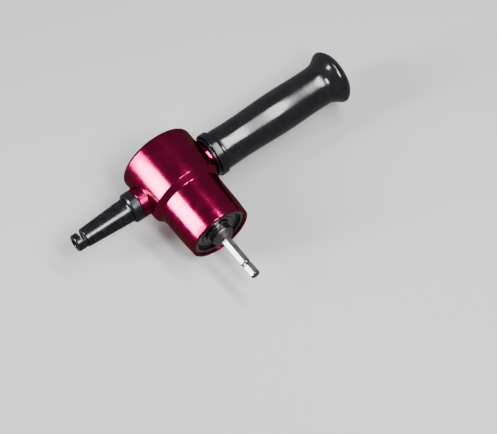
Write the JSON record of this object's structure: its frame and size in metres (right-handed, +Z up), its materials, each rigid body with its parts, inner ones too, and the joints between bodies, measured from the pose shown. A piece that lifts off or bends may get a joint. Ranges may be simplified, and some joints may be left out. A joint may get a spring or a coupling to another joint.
{
  "type": "nibbler tool",
  "caption": "Double-headed sheet metal nibbler for a power drill: stepped round barrel with a hex shank, a tapered ribbed cutting head on one side and a screw-on grip over the second head.",
  "frame": {"origin": "on the ground plane, under the middle of the tool's bounding box, with the tool lying on its barrel", "axes": "+X along the ram from the exposed cutting head to the handle, -Y along the drive shaft towards the hex shank, +Z up"},
  "size_m": [0.218, 0.112, 0.0544],
  "materials": {
    "red_anodised": "glossy candy-red anodised",
    "black_steel": "glossy black oxide",
    "black_plastic": "glossy moulded black",
    "ground_steel": "ground and oiled",
    "dark_steel": "dark hardened steel",
    "bronze": "sintered bronze",
    "rubber": "matt nitrile"
  },
  "bodies": {
    "barrel": {"housing": "red_anodised", "rear_plug": "black_steel", "rear_o_ring": "rubber", "rear_circlip": "ground_steel", "outer_spacer": "ground_steel", "front_bearing_outer": "dark_steel", "inner_bearing_outer": "ground_steel", "front_bearing_shield": "dark_steel", "front_circlip": "dark_steel", "guide_bush_left": "bronze", "guide_bush_right": "bronze"},
    "shaft": {"drive_shaft": "dark_steel", "front_bearing_inner": "dark_steel", "inner_bearing_inner": "ground_steel", "shaft_circlip": "dark_steel", "crank_pin_clip": "ground_steel"},
    "roller": {"crank_roller": "ground_steel"},
    "front_cage": {"front_bearing_balls": "ground_steel"},
    "inner_cage": {"inner_bearing_balls": "ground_steel"},
    "ram": {"ram_yoke": "ground_steel", "punch_left": "ground_steel", "punch_right": "ground_steel", "punch_pin_left": "dark_steel", "punch_pin_right": "dark_steel"},
    "left_head": {"head_tube_left": "dark_steel", "head_sleeve_left": "black_steel", "die_left": "black_steel", "die_screw_left": "dark_steel"},
    "right_head": {"head_tube_right": "dark_steel", "head_sleeve_right": "black_steel", "die_right": "black_steel", "die_screw_right": "dark_steel"},
    "left_nut": {"lock_nut_left": "black_steel"},
    "right_nut": {"lock_nut_right": "black_steel"},
    "handle": {"handle_flange": "black_steel", "handle_grip": "black_plastic", "handle_end_cap": "black_plastic"}
  },
  "joints": [
    {"name": "shaft_spin", "type": "hinge", "parent": "barrel", "child": "shaft", "pos_m": [-0.0275, 0.034, 0.0272], "axis": [0, 1, 0], "continuous": true},
    {"name": "roller_spin", "type": "hinge", "parent": "shaft", "child": "roller", "pos_m": [-0.025, 0.034, 0.0272], "axis": [0, 1, 0], "continuous": true},
    {"name": "front_cage_spin", "type": "hinge", "parent": "barrel", "child": "front_cage", "pos_m": [-0.0275, 0.034, 0.0272], "axis": [0, 1, 0], "continuous": true},
    {"name": "inner_cage_spin", "type": "hinge", "parent": "barrel", "child": "inner_cage", "pos_m": [-0.0275, 0.034, 0.0272], "axis": [0, 1, 0], "continuous": true},
    {"name": "ram_slide", "type": "slide", "parent": "barrel", "child": "ram", "axis": [-1, 0, 0], "range_m": [0, 0.005]},
    {"name": "left_head_turn", "type": "hinge", "parent": "barrel", "child": "left_head", "pos_m": [-0.0275, 0.034, 0.0272], "axis": [1, 0, 0], "continuous": true},
    {"name": "right_head_turn", "type": "hinge", "parent": "barrel", "child": "right_head", "pos_m": [-0.0275, 0.034, 0.0272], "axis": [1, 0, 0], "continuous": true},
    {"name": "left_nut_turn", "type": "hinge", "parent": "barrel", "child": "left_nut", "pos_m": [-0.0275, 0.034, 0.0272], "axis": [1, 0, 0], "range_deg": [0, 270]},
    {"name": "right_nut_turn", "type": "hinge", "parent": "barrel", "child": "right_nut", "pos_m": [-0.0275, 0.034, 0.0272], "axis": [-1, 0, 0], "range_deg": [0, 270]},
    {"name": "handle_pull", "type": "slide", "parent": "barrel", "child": "handle", "axis": [1, 0, 0], "range_m": [0, 0.06]}
  ],
  "couplings": [
    {"joint": "front_cage_spin", "follows": "shaft_spin", "ratio": 0.3877},
    {"joint": "inner_cage_spin", "follows": "shaft_spin", "ratio": 0.4077}
  ]
}
